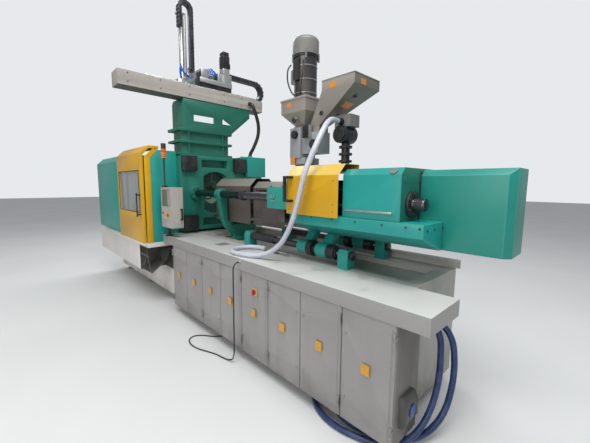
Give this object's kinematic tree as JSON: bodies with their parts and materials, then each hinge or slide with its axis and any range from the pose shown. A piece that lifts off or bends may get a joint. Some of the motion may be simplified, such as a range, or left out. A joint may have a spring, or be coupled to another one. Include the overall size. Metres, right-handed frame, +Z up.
{
  "type": "injection_moulding_machine",
  "caption": "Hydraulic injection moulding machine with a sliding injection unit on round columns, guarded clamp, take-out robot, hoppers and an operator panel.",
  "frame": {"origin": "bottom centre of the whole machine's box", "axes": "+X along the tie bars from the clamp to the injection end, +Y away from the operator, +Z up"},
  "size_m": [7.0402, 2.4608, 4.81],
  "materials": {
    "green_paint": "semi-gloss",
    "yellow_paint": "semi-gloss",
    "cream_paint": "satin",
    "grey_paint": "satin",
    "taupe_paint": "satin",
    "bright_steel": "brushed",
    "aluminium_profile": "anodised",
    "black_plastic": "matte",
    "black_steel": "satin",
    "clear_pane": "clear",
    "olive_casting": "painted",
    "red_plastic": "gloss",
    "signal_plastic": "gloss",
    "blue_plastic": "matte",
    "hose_plastic": "gloss",
    "blue_hose": "matte",
    "black_rubber": "matte"
  },
  "bodies": {
    "machine_frame": {"clamp_bed": "cream_paint", "injection_bed": "cream_paint", "switch_cabinet": "grey_paint", "worktop": "cream_paint", "door_hinges": "black_steel", "levelling_feet": "black_steel", "fixed_platen": "green_paint", "tie_bars": "bright_steel", "tie_bar_caps": "black_plastic", "rear_platen": "green_paint", "guard_shell": "green_paint", "guard_ends": "green_paint", "robot_console": "green_paint", "robot_beam": "aluminium_profile", "guide_bars": "black_steel", "column_yoke": "green_paint", "rod_brackets": "green_paint", "floor_cable": "black_rubber", "blue_hose_1": "blue_hose", "blue_hose_2": "blue_hose", "robot_conduit": "black_rubber"},
    "switch_knob": {"main_switch": "red_plastic"},
    "moving_platen_body": {"moving_platen": "green_paint"},
    "ejector_body": {"ejector": "bright_steel"},
    "safety_door_body": {"safety_door": "yellow_paint", "door_window": "clear_pane"},
    "robot_carriage_body": {"robot_carriage": "aluminium_profile"},
    "demould_arm_body": {"demould_arm": "aluminium_profile"},
    "vertical_arm_body": {"vertical_arm": "aluminium_profile"},
    "injection_unit": {"carriage_trough": "green_paint", "green_hood": "green_paint", "drive_box": "green_paint", "injection_cylinders": "green_paint", "carriage_bearings": "green_paint", "barrel": "bright_steel", "slotted_cover": "taupe_paint", "dosing_unit": "grey_paint", "small_hopper": "cream_paint", "large_hopper": "cream_paint", "small_loader": "bright_steel", "blower": "black_steel", "suction_hose": "hose_plastic", "suction_lance": "olive_casting"},
    "nozzle_hood_body": {"nozzle_hood": "taupe_paint"},
    "yellow_cover_body": {"yellow_cover": "yellow_paint"},
    "crosshead_body": {"crosshead": "green_paint"},
    "screw_body": {"screw": "bright_steel"},
    "hopper_lid_body": {"hopper_lid": "cream_paint"},
    "control_panel_body": {"control_panel": "cream_paint", "signal_tower": "signal_plastic"},
    "emergency_stop_body": {"emergency_stop": "red_plastic"},
    "socket_flap_body": {"socket_flap": "blue_plastic"},
    "door_1_body": {"door_1": "grey_paint"},
    "door_2_body": {"door_2": "grey_paint"},
    "door_3_body": {"door_3": "grey_paint"},
    "door_4_body": {"door_4": "grey_paint"},
    "door_5_body": {"door_5": "grey_paint"},
    "door_6_body": {"door_6": "grey_paint"},
    "door_7_body": {"door_7": "grey_paint"},
    "door_8_body": {"door_8": "grey_paint"}
  },
  "joints": [
    {"name": "door_1_hinge", "type": "hinge", "parent": "machine_frame", "child": "door_1_body", "pos_m": [-0.36215, -0.70242, 0.555], "axis": [0, 0, -1], "range_deg": [0, 90]},
    {"name": "door_2_hinge", "type": "hinge", "parent": "machine_frame", "child": "door_2_body", "pos_m": [0.48585, -0.70242, 0.555], "axis": [0, 0, 1], "range_deg": [0, 90]},
    {"name": "door_3_hinge", "type": "hinge", "parent": "machine_frame", "child": "door_3_body", "pos_m": [0.50185, -0.70242, 0.555], "axis": [0, 0, -1], "range_deg": [0, 90]},
    {"name": "door_4_hinge", "type": "hinge", "parent": "machine_frame", "child": "door_4_body", "pos_m": [1.34985, -0.70242, 0.555], "axis": [0, 0, 1], "range_deg": [0, 90]},
    {"name": "door_5_hinge", "type": "hinge", "parent": "machine_frame", "child": "door_5_body", "pos_m": [1.78185, -0.70242, 0.555], "axis": [0, 0, 1], "range_deg": [0, 90]},
    {"name": "door_6_hinge", "type": "hinge", "parent": "machine_frame", "child": "door_6_body", "pos_m": [1.79785, -0.70242, 0.555], "axis": [0, 0, -1], "range_deg": [0, 90]},
    {"name": "door_7_hinge", "type": "hinge", "parent": "machine_frame", "child": "door_7_body", "pos_m": [2.64585, -0.70242, 0.555], "axis": [0, 0, 1], "range_deg": [0, 90]},
    {"name": "door_8_hinge", "type": "hinge", "parent": "machine_frame", "child": "door_8_body", "pos_m": [3.07785, -0.70242, 0.555], "axis": [0, 0, 1], "range_deg": [0, 90]},
    {"name": "switch_turn", "type": "hinge", "parent": "door_5_body", "child": "switch_knob", "pos_m": [1.59545, -0.70242, 0.82], "axis": [0, 1, 0], "range_deg": [0, 90]},
    {"name": "clamp_slide", "type": "slide", "parent": "machine_frame", "child": "moving_platen_body", "axis": [1, 0, 0], "range_m": [-0.45, 0.3]},
    {"name": "ejector_slide", "type": "slide", "parent": "moving_platen_body", "child": "ejector_body", "axis": [1, 0, 0], "range_m": [0, 0.2]},
    {"name": "safety_door_slide", "type": "slide", "parent": "machine_frame", "child": "safety_door_body", "axis": [1, 0, 0], "range_m": [-1.1, 0]},
    {"name": "robot_traverse", "type": "slide", "parent": "machine_frame", "child": "robot_carriage_body", "axis": [0, 1, 0], "range_m": [-1.05, 0.28]},
    {"name": "robot_demould", "type": "slide", "parent": "robot_carriage_body", "child": "demould_arm_body", "axis": [1, 0, 0], "range_m": [-0.1, 0.12]},
    {"name": "robot_vertical", "type": "slide", "parent": "demould_arm_body", "child": "vertical_arm_body", "axis": [0, 0, 1], "range_m": [-1, 0]},
    {"name": "injection_slide", "type": "slide", "parent": "machine_frame", "child": "injection_unit", "axis": [1, 0, 0], "range_m": [-0.37, 0]},
    {"name": "nozzle_hood_slide", "type": "slide", "parent": "injection_unit", "child": "nozzle_hood_body", "axis": [1, 0, 0], "range_m": [0, 0.5]},
    {"name": "yellow_cover_slide", "type": "slide", "parent": "injection_unit", "child": "yellow_cover_body", "axis": [1, 0, 0], "range_m": [0, 0.5]},
    {"name": "screw_stroke", "type": "slide", "parent": "injection_unit", "child": "crosshead_body", "axis": [1, 0, 0], "range_m": [0, 0.4]},
    {"name": "screw_turn", "type": "hinge", "parent": "crosshead_body", "child": "screw_body", "pos_m": [2.02985, 0.11958, 1.725], "axis": [1, 0, 0], "continuous": true},
    {"name": "hopper_lid_hinge", "type": "hinge", "parent": "injection_unit", "child": "hopper_lid_body", "pos_m": [2.07735, 0.32658, 2.865], "axis": [-1, 0, 0], "range_deg": [0, 100]},
    {"name": "panel_swivel", "type": "hinge", "parent": "machine_frame", "child": "control_panel_body", "pos_m": [-0.53015, -0.66742, 1.108], "axis": [0, 0, 1], "range_deg": [-60, 45]},
    {"name": "emergency_press", "type": "slide", "parent": "control_panel_body", "child": "emergency_stop_body", "axis": [0, 1, 0], "range_m": [0, 0.006]},
    {"name": "socket_flap_hinge", "type": "hinge", "parent": "machine_frame", "child": "socket_flap_body", "pos_m": [3.15015, -0.53542, 0.408], "axis": [0, -1, 0], "range_deg": [0, 100]}
  ]
}
